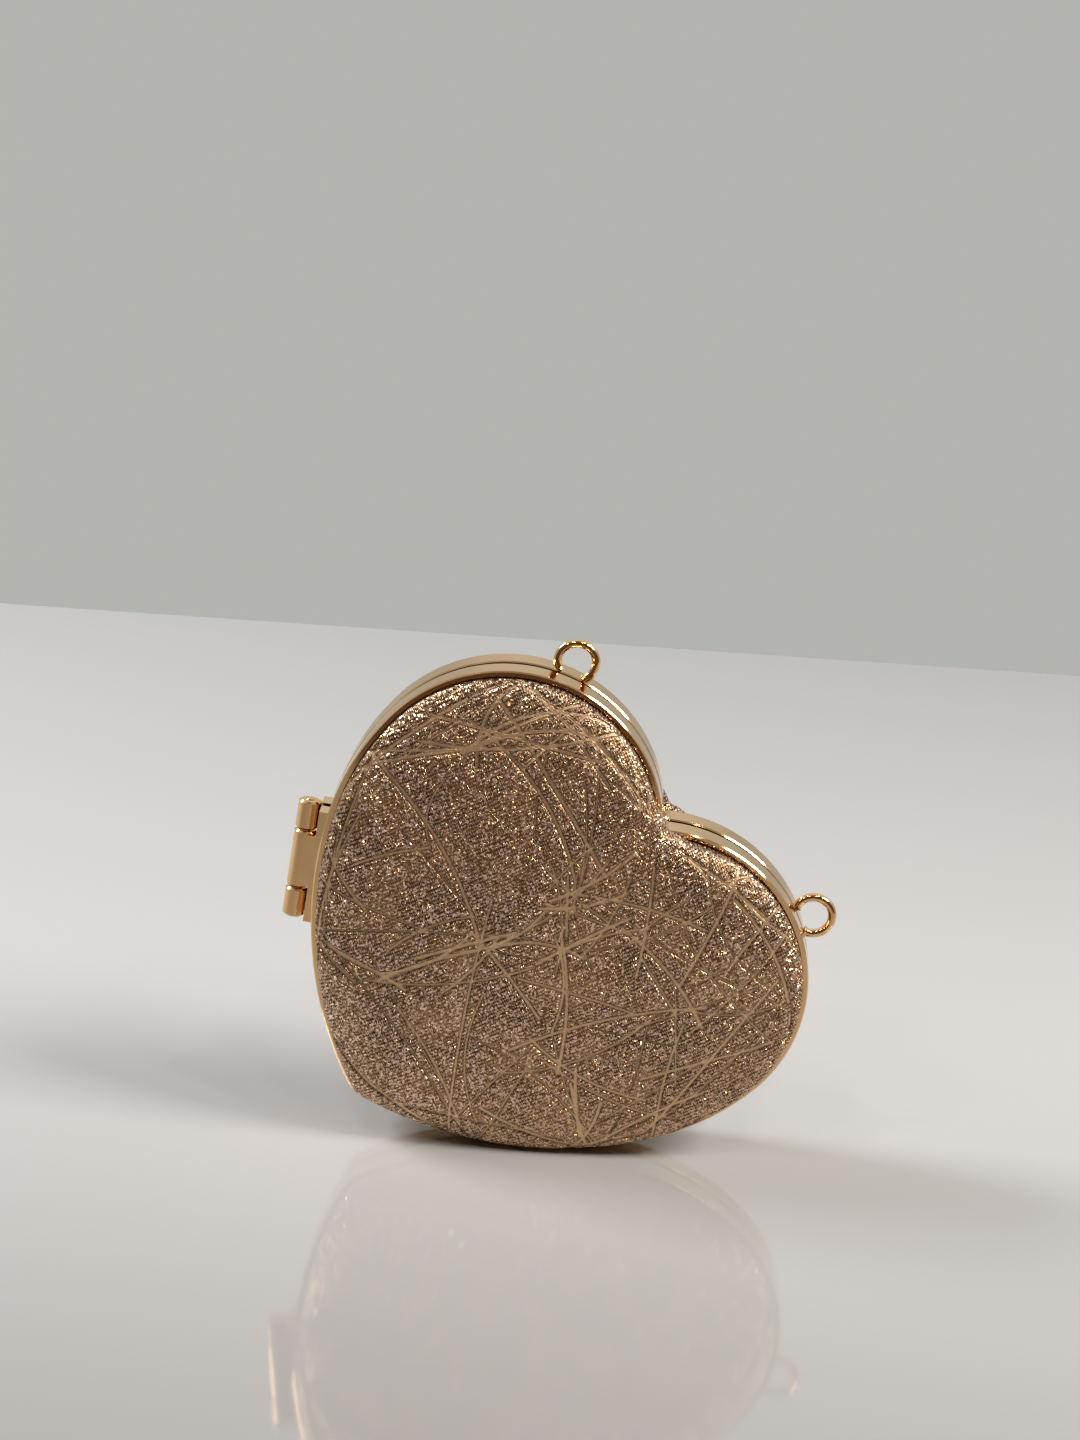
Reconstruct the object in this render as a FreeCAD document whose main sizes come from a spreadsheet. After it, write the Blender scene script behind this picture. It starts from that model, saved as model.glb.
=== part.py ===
"""Heart shaped evening purse: two gold frames on a barrel hinge, each holding a padded cover.

The purse is drawn upright in the plane of its heart (X across, Z from tip to notch, the parting
plane at Y = 0, the front towards -Y) and then set down on its right flank, as it stands on a table.
"""
import FreeCAD, Part
import math
import os
import re

import Sketcher
from FreeCAD import Placement, Rotation, Vector

os.makedirs("parts", exist_ok=True)
doc = FreeCAD.newDocument("HeartPurse")

# Driving dimensions, millimetres and degrees
SIZES = {
    # Heart outline, outside of the frame: lobe, shoulder and flank arcs, notch and tip roundings
    "lobe_radius": 41.7,
    "lobe_offset": 28.8,
    "shoulder_radius": 68.9,
    "flank_radius": 105.2,
    "notch_radius": 2.2,
    "tip_radius": 8.5,
    "shoulder_angle": 92.4,
    "flank_angle": 120.0,
    # How the purse stands: its heart axis above the table
    "stand_angle": 45.6,
    # Frame: the polished band, the groove at the parting line and the rim behind it
    "band_depth": 7.7,
    "band_wall": 1.4,
    "band_bevel": 0.35,
    "groove_width": 2.0,
    "groove_depth": 1.1,
    "rim_gap": 0.4,
    "rim_thickness": 1.6,
    # Cover: crown, sides and layers, from the fabric inwards
    "cover_gap": 0.6,
    "crown_height": 10.5,
    "crown_fall": 6.2128125,
    "crown_centre_drop": 15.4,
    "crown_margin": 0.2,
    "side_drop": 0.7,
    "side_angle": 22.0,
    "fabric_thickness": 0.5,
    "shell_rise": 3.4,
    "shell_wall": 2.0,
    "shell_front": 1.3,
    "shell_draft": 6.0,
    "board_thickness": 0.8,
    "satin_thickness": 0.3,
    "glue_line": 0.1,
    "hem_gap": 0.4,
    # Hinge on the left flank
    "hinge_angle": 128.4,
    "hinge_axis_offset": 4.4,
    "barrel_radius": 3.0,
    "barrel_chamfer": 0.5,
    "middle_knuckle": 15.9,
    "end_knuckle": 7.9,
    "knuckle_gap": 0.4,
    "leaf_clearance": 0.2,
    "leaf_inset": 0.3,
    "leaf_width": 5.6,
    "leaf_end_inset": 0.8,
    "leaf_seat_depth": 2.4,
    "knuckle_web": 1.8,
    "pin_radius": 1.2,
    "pin_end": 0.3,
    "pin_fixed_clearance": 0.02,
    "pin_running_clearance": 0.06,
    # Chain loops on the rear band
    "loop_radius": 5.05,
    "loop_wire_radius": 1.15,
    "loop_height": 3.6,
    "loop_angle": 23.4,
    "loop_inset": 0.2,
    "solder_line": 0.03,
    # Closing magnets in the rim opposite the hinge
    "magnet_radius": 1.3,
    "magnet_thickness": 1.1,
    "magnet_clearance": 0.05,
    "magnet_pitch": 6.0,
    # Extra length of cutting shapes
    "overrun": 5.0,
}
MAGNET_COUNT = 3
WIRE_SIDE_COUNT = 12

sheet = doc.addObject("Spreadsheet::Sheet", "Sizes")
for row, (alias, size) in enumerate(SIZES.items(), start=1):
    sheet.set(f"A{row}", alias)
    sheet.set(f"B{row}", str(size))
    sheet.setAlias(f"B{row}", alias)
doc.recompute()


def sized(text):
    """An expression with each driving dimension named by its cell."""
    def cell(word):
        return "Sizes." + word[0] if word[0] in SIZES else word[0]
    return re.sub(r"[a-z_]+", cell, text)


def value(text):
    """The number that an expression in driving dimensions has now."""
    result = sheet.evalExpression(sized(text))
    return float(getattr(result, "Value", result))


def bind(item, **expressions):
    """Binds properties of a document object to expressions in driving dimensions."""
    for name, text in expressions.items():
        item.setExpression(name, sized(text))


# Depths, measured from the parting plane towards the front face
HALF_DEPTH = "groove_width / 2 + band_depth"
RIM_FACE = "rim_gap / 2"
RIM_SEAT = "rim_gap / 2 + rim_thickness"

SIDE_START = f"{HALF_DEPTH} - side_drop"
CROWN_TOP = f"{HALF_DEPTH} + crown_height"
SHELL_FACE = f"{HALF_DEPTH} + shell_rise"
SHELL_FLOOR = f"{SHELL_FACE} - shell_front"
BOARD_FACE = f"{SHELL_FLOOR} - glue_line - board_thickness"
SATIN_FACE = f"{BOARD_FACE} - glue_line"

# Sphere of the crown, which falls by crown_fall from its middle to the widest points of the heart
CROWN_RADIUS = "(lobe_offset + lobe_radius) ^ 2 / (2 * crown_fall)"

# Insets, measured from the outside of the frame inwards
FABRIC_INSET = "band_wall + cover_gap"
SHELL_INSET = f"{FABRIC_INSET} + fabric_thickness + glue_line"
HOLLOW_INSET = f"{SHELL_INSET} + shell_wall"


# Heart outline
class HeartPoints:
    """Arc centres and junction angles, shared by every outline parallel to the frame's outside."""

    def __init__(self):
        """Works the centres out from the driving dimensions."""
        lobe = value("lobe_radius")
        shoulder = value("shoulder_radius")
        flank = value("flank_radius")
        self.shoulder_angle = math.radians(value("shoulder_angle"))
        self.flank_angle = math.radians(value("flank_angle"))
        self.lobe = Vector(value("lobe_offset"), 0, 0)
        self.shoulder = self.lobe - self.towards(self.shoulder_angle) * (shoulder - lobe)
        self.flank = self.shoulder - self.towards(self.flank_angle) * (flank - shoulder)
        notch_reach = lobe + value("notch_radius")
        self.notch = Vector(0, math.sqrt(notch_reach ** 2 - self.lobe.x ** 2), 0)
        tip_reach = flank - value("tip_radius")
        self.tip = Vector(0, self.flank.y - math.sqrt(tip_reach ** 2 - self.flank.x ** 2), 0)
        self.notch_angle = -math.asin(self.lobe.x / notch_reach)
        self.tip_angle = math.pi - math.asin(-self.flank.x / tip_reach)

    @staticmethod
    def towards(angle):
        """Unit vector at an angle from the heart's axis, turned to the right."""
        return Vector(math.sin(angle), math.cos(angle), 0)


heart = HeartPoints()
START, END, CENTRE = range(1, 4)
ORIGIN = X_AXIS = -1
Y_AXIS = X_AXIS - 1


def heart_loop(sketch, inset):
    """Adds one closed heart to a sketch, parallel to the frame's outside and inset from it."""
    radius = {
        "lobe": f"lobe_radius - ({inset})",
        "shoulder": f"shoulder_radius - ({inset})",
        "flank": f"flank_radius - ({inset})",
        "notch": f"notch_radius + ({inset})",
        "tip": f"tip_radius - ({inset})",
    }
    right = math.pi / 2
    spans = {
        "lobe": (right - heart.shoulder_angle, right - heart.notch_angle),
        "shoulder": (right - heart.flank_angle, right - heart.shoulder_angle),
        "flank": (right - heart.tip_angle, right - heart.flank_angle),
    }

    def arc(name, centre, start, end):
        circle = Part.Circle(centre, Vector(0, 0, 1), value(radius[name]))
        return sketch.addGeometry(Part.ArcOfCircle(circle, start, end), False)

    right_side = {}
    left_side = {}
    for name in ("lobe", "shoulder", "flank"):
        centre = getattr(heart, name)
        start, end = spans[name]
        right_side[name] = arc(name, centre, start, end)
        left_side[name] = arc(name, Vector(-centre.x, centre.y, 0), math.pi - end, math.pi - start)
    to_lobe = heart.lobe - heart.notch
    notch_end = math.atan2(to_lobe.y, to_lobe.x)
    notch = arc("notch", heart.notch, math.pi - notch_end, 2 * math.pi + notch_end)
    tip = arc("tip", heart.tip, right + heart.tip_angle, 2 * math.pi + right - heart.tip_angle)

    def tie(kind, *where):
        return sketch.addConstraint(Sketcher.Constraint(kind, *where))

    def drive(kind, text, *where):
        index = tie(kind, *where, value(text))
        sketch.setExpression(f"Constraints[{index}]", sized(text))

    def drive_angle(text, index):
        bound = tie("Angle", index, math.radians(value(text)))
        sketch.setExpression(f"Constraints[{bound}]", sized(text))

    joins = [
        (tip, END, right_side["flank"], START),
        (right_side["flank"], END, right_side["shoulder"], START),
        (right_side["shoulder"], END, right_side["lobe"], START),
        (right_side["lobe"], END, notch, END),
        (notch, START, left_side["lobe"], START),
        (left_side["lobe"], END, left_side["shoulder"], START),
        (left_side["shoulder"], END, left_side["flank"], START),
        (left_side["flank"], END, tip, START),
    ]
    for join in joins:
        tie("Tangent", *join)
    for name, index in right_side.items():
        drive("Radius", radius[name], index)
        tie("Equal", index, left_side[name])
    drive("Radius", radius["notch"], notch)
    drive("Radius", radius["tip"], tip)
    tie("PointOnObject", right_side["lobe"], CENTRE, X_AXIS)
    tie("Symmetric", right_side["lobe"], CENTRE, left_side["lobe"], CENTRE, Y_AXIS)
    drive("DistanceX", "lobe_offset", ORIGIN, START, right_side["lobe"], CENTRE)
    lobe_span = "shoulder_angle * 1 deg + asin(lobe_offset / (lobe_radius + notch_radius))"
    for side in (right_side, left_side):
        drive_angle(lobe_span, side["lobe"])
        drive_angle("(flank_angle - shoulder_angle) * 1 deg", side["shoulder"])


def heart_sketch(owner, name, depth, *insets):
    """A sketch of one or more nested hearts, parallel to the parting plane."""
    if owner is doc:
        sketch = doc.addObject("Sketcher::SketchObject", name)
        sketch.Placement = Placement(Vector(0, -value(depth), 0), Rotation(Vector(1, 0, 0), 90))
        bind(sketch, **{".Placement.Base.y": f"-({depth})"})
    else:
        sketch = plane_sketch(owner, name, "XZ_Plane", depth)
    for inset in insets:
        heart_loop(sketch, inset)
    return sketch


def origin_plane(body, role):
    """One of a body's own origin planes."""
    return next(plane for plane in body.Origin.OriginFeatures if plane.Role == role)


def pad(body, sketch, length, narrowing="0"):
    """Pads a sketch of a body by a driven length, with sides that lean inwards by an angle."""
    feature = body.newObject("PartDesign::Pad", sketch.Name + "Pad")
    feature.Profile = sketch
    bind(feature, Length=length, TaperAngle=f"-({narrowing})")
    sketch.Visibility = False
    doc.recompute()
    return feature


# How the purse stands
def stand_placement():
    """Turns the purse onto its right flank, with the foot of the flank at the origin."""
    turn = Rotation(Vector(0, 1, 0), 90 - value("stand_angle"))
    flank_centre = turn.multVec(Vector(heart.flank.x, 0, heart.flank.y))
    foot = flank_centre - Vector(0, 0, value("flank_radius"))
    return Placement(-foot, turn)


standing = stand_placement()
nodes = {}


def finish(item, label):
    """Names a finished sub-part and stands it up."""
    item.Label = label
    item.Placement = standing.multiply(item.Placement)
    nodes[label] = item


def mirror_to_rear(front, label):
    """The rear half's twin of a front sub-part that already stands."""
    twin = doc.addObject("Part::Mirroring", "Mirrored_" + label)
    twin.Source = front
    twin.Normal = Vector(0, 1, 0)
    twin.Label = label
    nodes[label] = twin


# Frames
def bevel_band_edges(body, base):
    """Bevels the two outer edges of the band, which catch the light."""
    outside = [value(text) for text in
               ("lobe_radius", "shoulder_radius", "flank_radius", "notch_radius", "tip_radius")]
    names = []
    for number, edge in enumerate(base.Shape.Edges, start=1):
        if not isinstance(edge.Curve, Part.Circle):
            continue
        if min(abs(edge.Curve.Radius - radius) for radius in outside) < base.Shape.getTolerance(1):
            names.append(f"Edge{number}")
    bevel = body.newObject("PartDesign::Chamfer", "BandBevel")
    bevel.Base = (base, names)
    bind(bevel, Size="band_bevel")


def magnet_places():
    """Where the magnets sit, as distances across and along the heart, on the flank's rim."""
    inset = value(f"(band_wall + {HOLLOW_INSET}) / 2")
    reach = value("flank_radius") - inset
    step = value("magnet_pitch") / reach
    middle = math.radians(value("hinge_angle"))
    for number in range(MAGNET_COUNT):
        turn = middle + (number - (MAGNET_COUNT - 1) / 2) * step
        yield heart.flank + heart.towards(turn) * reach


def front_frame():
    """Band, groove shoulder and rim of the front frame, with pockets for the magnets."""
    body = doc.addObject("PartDesign::Body", "FrontFrame")
    rim = heart_sketch(body, "FrontRim", RIM_FACE, "groove_depth", HOLLOW_INSET)
    pad(body, rim, "rim_thickness")
    band = heart_sketch(body, "FrontBand", "groove_width / 2", "0", "band_wall")
    walls = pad(body, band, "band_depth")
    bevel_band_edges(body, walls)
    doc.recompute()
    holes = plane_sketch(body, "MagnetHoles", "XZ_Plane", RIM_FACE)
    radius = "magnet_radius + magnet_clearance"
    for place in magnet_places():
        index = holes.addGeometry(Part.Circle(place, Vector(0, 0, 1), value(radius)), False)
        bound = holes.addConstraint(Sketcher.Constraint("Radius", index, value(radius)))
        holes.setExpression(f"Constraints[{bound}]", sized(radius))
    pocket = body.newObject("PartDesign::Pocket", "MagnetPockets")
    pocket.Profile = holes
    pocket.Reversed = True
    bind(pocket, Length="magnet_thickness + magnet_clearance")
    doc.recompute()
    return body


# Covers
def risen_heart(name, inset, base, top):
    """A heart that stands straight up inside the frame and leans inwards above it, up to a depth."""
    body = doc.addObject("PartDesign::Body", name)
    pad(body, heart_sketch(body, name + "Wall", base, inset), f"{SIDE_START} - ({base})")
    side = heart_sketch(body, name + "Side", SIDE_START, inset)
    pad(body, side, f"{top} - ({SIDE_START})", "side_angle")
    return body


def leaning_heart(name, inset, base, top, angle):
    """A heart whose side leans inwards all the way from a base plane to a depth."""
    body = doc.addObject("PartDesign::Body", name)
    pad(body, heart_sketch(body, name + "Base", base, inset), f"{top} - ({base})", angle)
    return body


def leant(inset, angle, height):
    """The inset that a leaning side has reached at a height above the plane where it starts."""
    return f"{inset} + ({height}) * tan({angle} * 1 deg)"


def crowned(name, body, sunk):
    """Cuts a heart to the crown, or to a surface parallel to it that is sunk below."""
    crown = doc.addObject("Part::Sphere", name + "Crown")
    bind(crown, Radius=f"{CROWN_RADIUS} - ({sunk})")
    bind(crown, **{".Placement.Base.y": f"{CROWN_RADIUS} - ({CROWN_TOP})",
                   ".Placement.Base.z": "-crown_centre_drop"})
    dome = doc.addObject("Part::Common", name + "Dome")
    dome.Base = body
    dome.Tool = crown
    doc.recompute()
    return dome


def hollowed(name, outside, inside):
    """A tray: one form with another cut out of it."""
    tray = doc.addObject("Part::Cut", name)
    tray.Base = outside
    tray.Tool = inside
    doc.recompute()
    return tray


def hollow_form(name, depth, extra):
    """The shape of the compartment down to a depth, or a smaller one inside it by an extra inset."""
    mouth = f"{RIM_FACE} - overrun"
    inset = leant(f"{HOLLOW_INSET} + {extra}", "shell_draft", "-overrun")
    return leaning_heart(name, inset, mouth, depth, "shell_draft")


def cover_fabric():
    """Fabric, stretched over the crown and tucked down inside the frame."""
    hem = f"{RIM_SEAT} + hem_gap"
    top = f"{CROWN_TOP} + crown_margin"
    outside = risen_heart("FabricOutside", FABRIC_INSET, hem, top)
    inside = risen_heart("FabricInside", f"{FABRIC_INSET} + fabric_thickness", f"{hem} - overrun", top)
    return hollowed("CoverFabric", crowned("FabricOutside", outside, "0"),
                    crowned("FabricInside", inside, "fabric_thickness"))


def cover_padding():
    """Foam between the flat front of the shell and the fabric, thickest in the middle."""
    base = f"{SHELL_FACE} + glue_line"
    inset = leant(SHELL_INSET, "side_angle", f"{base} - ({SIDE_START})")
    form = leaning_heart("CoverPadding", inset, base, f"{CROWN_TOP} + crown_margin", "side_angle")
    return crowned("CoverPadding", form, "fabric_thickness + glue_line")


def cover_shell():
    """Moulded tray that stands on the rim and carries padding and fabric."""
    outside = risen_heart("ShellOutside", SHELL_INSET, f"{RIM_SEAT} + glue_line", SHELL_FACE)
    return hollowed("CoverShell", outside, hollow_form("ShellHollow", SHELL_FLOOR, "0"))


def lining_board():
    """Card on the floor of the shell."""
    reached = f"{SHELL_FLOOR} - glue_line - ({RIM_FACE})"
    inset = leant(f"{HOLLOW_INSET} + glue_line", "shell_draft", reached)
    body = doc.addObject("PartDesign::Body", "LiningBoard")
    pad(body, heart_sketch(body, "LiningBoardBase", BOARD_FACE, inset), "board_thickness")
    return body


def lining_satin():
    """Satin over the card and up the wall, to the face of the rim."""
    outside = leaning_heart("SatinOutside", f"{HOLLOW_INSET} + glue_line", RIM_FACE, SATIN_FACE, "shell_draft")
    inside = hollow_form("SatinHollow", f"{SATIN_FACE} - satin_thickness", "glue_line + satin_thickness")
    return hollowed("LiningSatin", outside, inside)


# Hinge
def hinge_placement():
    """Frame of the hinge: X out of the left flank, Y to the rear, Z along the pin."""
    outward = heart.towards(math.radians(value("hinge_angle")))
    reach = value("flank_radius + hinge_axis_offset")
    centre = heart.flank + outward * reach
    across = Vector(-outward.x, 0, outward.y)
    rear = Vector(0, 1, 0)
    turn = Rotation(across, rear, across.cross(rear), "XYZ")
    return Placement(Vector(-centre.x, 0, centre.y), turn)


HINGE_LENGTH = "middle_knuckle + 2 * (end_knuckle + knuckle_gap)"


def polygon(sketch, corners):
    """Adds a closed outline whose corners lie at driven distances from the sketch's origin."""
    points = [Vector(value(across), value(along), 0) for across, along in corners]
    following = points[1:] + points[:1]
    lines = [sketch.addGeometry(Part.LineSegment(*ends), False) for ends in zip(points, following)]
    for line, after in zip(lines, lines[1:] + lines[:1]):
        sketch.addConstraint(Sketcher.Constraint("Coincident", line, END, after, START))
    for line, corner in zip(lines, corners):
        for kind, axis, text in zip(("DistanceX", "DistanceY"), (Y_AXIS, X_AXIS), corner):
            if abs(value(text)) < 1e-9:
                sketch.addConstraint(Sketcher.Constraint("PointOnObject", line, START, axis))
                continue
            tie = Sketcher.Constraint(kind, ORIGIN, START, line, START, value(text))
            sketch.setExpression(f"Constraints[{sketch.addConstraint(tie)}]", sized(text))


def circle_at_origin(sketch, radius):
    """Adds a circle of a driven radius around the sketch's origin."""
    circle = sketch.addGeometry(Part.Circle(Vector(), Vector(0, 0, 1), value(radius)), False)
    sketch.addConstraint(Sketcher.Constraint("Coincident", circle, CENTRE, ORIGIN, START))
    bound = sketch.addConstraint(Sketcher.Constraint("Radius", circle, value(radius)))
    sketch.setExpression(f"Constraints[{bound}]", sized(radius))


def plane_sketch(body, name, role, height="0"):
    """A sketch on one of a body's origin planes, or at a driven height above it."""
    sketch = body.newObject("Sketcher::SketchObject", name)
    sketch.AttachmentSupport = (origin_plane(body, role), "")
    sketch.MapMode = "FlatFace"
    bind(sketch, **{".AttachmentOffset.Base.z": height})
    return sketch


def hinge_leaf(name, side, knuckles, pin_clearance):
    """A hinge leaf: plate on the band, and knuckles whose flat webs run into the plate.

    side is -1 for the front leaf and 1 for the rear one. knuckles holds, for each knuckle, where it
    starts along the pin and how long it is.
    """
    body = doc.addObject("PartDesign::Body", name)
    near = f"{side} * (groove_width / 2 + leaf_inset)"
    far = f"{side} * (groove_width / 2 + leaf_inset + leaf_width)"
    tangent = f"{side} * barrel_radius"
    under = f"{side} * (barrel_radius - knuckle_web)"
    face = "-(barrel_radius + leaf_clearance)"
    seat = "-(hinge_axis_offset + leaf_seat_depth)"
    plate = plane_sketch(body, name + "Plate", "XY_Plane", f"leaf_end_inset - ({HINGE_LENGTH}) / 2")
    polygon(plate, [(seat, near), (face, near), (face, far), (seat, far)])
    pad(body, plate, f"{HINGE_LENGTH} - 2 * leaf_end_inset")
    for number, (start, length) in enumerate(knuckles):
        web = plane_sketch(body, f"{name}Web{number}", "XY_Plane", f"{start} + leaf_end_inset")
        polygon(web, [(seat, under), ("0", under), ("0", tangent), (seat, tangent)])
        pad(body, web, f"{length} - 2 * leaf_end_inset")
        profile = plane_sketch(body, f"{name}Barrel{number}", "XZ_Plane")
        neck = "barrel_radius - barrel_chamfer"
        polygon(profile, [("0", start), (neck, start), ("barrel_radius", f"{start} + barrel_chamfer"),
                          ("barrel_radius", f"{start} + {length} - barrel_chamfer"),
                          (neck, f"{start} + {length}"), ("0", f"{start} + {length}")])
        barrel = body.newObject("PartDesign::Revolution", f"{name}Knuckle{number}")
        barrel.Profile = profile
        barrel.ReferenceAxis = (profile, ["V_Axis"])
        doc.recompute()
    bore = plane_sketch(body, name + "Bore", "XY_Plane", f"-({HINGE_LENGTH}) / 2 - overrun")
    circle_at_origin(bore, f"pin_radius + {pin_clearance}")
    pocket = body.newObject("PartDesign::Pocket", name + "BorePocket")
    pocket.Profile = bore
    pocket.Reversed = True
    bind(pocket, Length=f"{HINGE_LENGTH} + 2 * overrun")
    doc.recompute()
    body.Placement = hinge_placement()
    return seat_on_band(body, name + "Seated")


def seat_on_band(item, name):
    """Cuts a piece to the outside of the band, a solder line away from it."""
    cut = doc.addObject("Part::Cut", name)
    cut.Base = item
    cut.Tool = seat_tool
    doc.recompute()
    return cut


def hinge_pin():
    """The pin, with bevelled ends that stand a little out of the end knuckles."""
    rod = doc.addObject("Part::Cylinder", "PinRod")
    bind(rod, Radius="pin_radius", Height=f"{HINGE_LENGTH} + 2 * pin_end")
    doc.recompute()
    pin = doc.addObject("Part::Chamfer", "HingePin")
    pin.Base = rod
    pin.Edges = [(number, value("pin_end"), value("pin_end"))
                 for number, edge in enumerate(rod.Shape.Edges, start=1)
                 if isinstance(edge.Curve, Part.Circle)]
    place = hinge_placement()
    drop = place.Rotation.multVec(Vector(0, 0, -value(f"({HINGE_LENGTH}) / 2 + pin_end")))
    pin.Placement = Placement(place.Base + drop, place.Rotation)
    return pin


# Chain loops
def chain_loop(name, side):
    """A wire ring soldered to the rear band, standing out from one lobe."""
    angle = math.radians(value("loop_angle"))
    centre = heart.lobe + heart.towards(angle) * value("lobe_radius + loop_height")
    ring = doc.addObject("PartDesign::Body", name + "Ring")
    section = plane_sketch(ring, name + "Section", "XZ_Plane")
    turns = [f"{360 * side_number / WIRE_SIDE_COUNT} deg" for side_number in range(WIRE_SIDE_COUNT)]
    polygon(section, [(f"loop_radius + loop_wire_radius * cos({turn})", f"loop_wire_radius * sin({turn})")
                      for turn in turns])
    wire = ring.newObject("PartDesign::Revolution", name + "Wire")
    wire.Profile = section
    wire.ReferenceAxis = (section, ["V_Axis"])
    doc.recompute()
    depth = value("groove_width / 2 + loop_inset + loop_wire_radius")
    ring.Placement = Placement(Vector(side * centre.x, depth, centre.y), Rotation(Vector(1, 0, 0), 90))
    return seat_on_band(ring, name + "Seated")


# Closing magnets
def front_magnets():
    """Disc magnets, flush in the front rim opposite the hinge."""
    discs = []
    for number, place in enumerate(magnet_places()):
        disc = doc.addObject("Part::Cylinder", f"Magnet{number}")
        bind(disc, Radius="magnet_radius", Height="magnet_thickness")
        disc.Placement = Placement(Vector(place.x, -value(RIM_FACE), place.y), Rotation(Vector(1, 0, 0), 90))
        discs.append(disc)
    group = doc.addObject("Part::Compound", "FrontMagnets")
    group.Links = discs
    doc.recompute()
    return group


seat_outline = heart_sketch(doc, "SeatOutline", f"-({HALF_DEPTH} + overrun)", "-solder_line")
seat_tool = doc.addObject("Part::Extrusion", "SeatTool")
seat_tool.Base = seat_outline
seat_tool.DirMode = "Custom"
seat_tool.Dir = Vector(0, -1, 0)
seat_tool.Solid = True
bind(seat_tool, LengthFwd=f"2 * ({HALF_DEPTH} + overrun)")
doc.recompute()

finish(front_frame(), "front_frame")
finish(cover_fabric(), "front_cover_fabric")
finish(cover_padding(), "front_cover_padding")
finish(cover_shell(), "front_cover_shell")
finish(lining_board(), "front_lining_board")
finish(lining_satin(), "front_lining_satin")
finish(front_magnets(), "front_rim_magnets")
doc.recompute()
for label, item in list(nodes.items()):
    mirror_to_rear(item, label.replace("front_", "rear_"))

finish(hinge_leaf("FrontLeaf", -1, [("-middle_knuckle / 2", "middle_knuckle")],
                  "pin_running_clearance"), "hinge_front_leaf")
ends = [(f"-({HINGE_LENGTH}) / 2", "end_knuckle"), ("middle_knuckle / 2 + knuckle_gap", "end_knuckle")]
finish(hinge_leaf("RearLeaf", 1, ends, "pin_fixed_clearance"), "hinge_rear_leaf")
finish(hinge_pin(), "hinge_pin")
finish(chain_loop("LeftLoop", -1), "left_chain_loop")
finish(chain_loop("RightLoop", 1), "right_chain_loop")
doc.recompute()

# Checks, then one file for each sub-part
for item in doc.Objects:
    if "Invalid" in item.State or "Error" in item.State:
        raise RuntimeError(f"{item.Name} failed: {item.State}")
for label, item in nodes.items():
    shape = item.Shape
    if shape.isNull() or not shape.isValid() or not shape.Solids:
        raise RuntimeError(f"{label} has no valid solid")
for label, item in nodes.items():
    solids = item.Shape.Solids
    shape = solids[0] if len(solids) == 1 else Part.makeCompound(solids)
    shape.exportStep(f"parts/{label}.step")
    print(f"{label}: {len(solids)} solid(s), {shape.Volume:.1f} mm3")
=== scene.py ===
"""Heart shaped evening purse: padded glitter covers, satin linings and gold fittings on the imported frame.

Lengths in the classes are millimetres, because a maker of such a purse works in them. They become metres
where a mesh is made. The heart is drawn in its own plane, tip down, and then stood on its right flank.
"""
import logging
import math
from dataclasses import dataclass, field
from enum import Enum

import bpy
import numpy as np
from mathutils import Matrix, Vector


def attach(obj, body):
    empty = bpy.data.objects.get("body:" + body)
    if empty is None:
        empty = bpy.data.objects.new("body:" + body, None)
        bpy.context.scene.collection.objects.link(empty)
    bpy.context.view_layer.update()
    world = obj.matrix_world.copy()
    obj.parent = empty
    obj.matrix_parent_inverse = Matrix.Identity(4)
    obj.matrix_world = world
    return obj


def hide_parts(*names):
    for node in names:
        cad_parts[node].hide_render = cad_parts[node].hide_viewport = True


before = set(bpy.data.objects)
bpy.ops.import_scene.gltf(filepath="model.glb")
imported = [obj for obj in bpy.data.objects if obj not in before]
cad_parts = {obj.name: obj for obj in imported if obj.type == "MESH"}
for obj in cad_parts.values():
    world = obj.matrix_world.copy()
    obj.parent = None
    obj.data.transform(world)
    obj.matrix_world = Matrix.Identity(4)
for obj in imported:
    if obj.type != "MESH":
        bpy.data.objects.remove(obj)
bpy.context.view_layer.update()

MM = 0.001
Pair = tuple[float, float]
Triple = tuple[float, float, float]
Faces = list[tuple[int, ...]]
Tree = bpy.types.NodeTree
Link = bpy.types.Node | bpy.types.NodeSocket
SMOOTH = {"interpolation_type": "SMOOTHSTEP"}
log = logging.getLogger("purse")
logging.basicConfig(level=logging.INFO, format="%(name)s: %(message)s")


class Half(Enum):
    """The two halves of the purse, with the side of the parting plane that each lies on."""

    FRONT = -1
    REAR = 1

    @property
    def word(self) -> str:
        """The half's name in node and body names."""
        return self.name.lower()

    @property
    def body(self) -> str:
        """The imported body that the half's pieces ride on."""
        return f"{self.word}_half"


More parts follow.
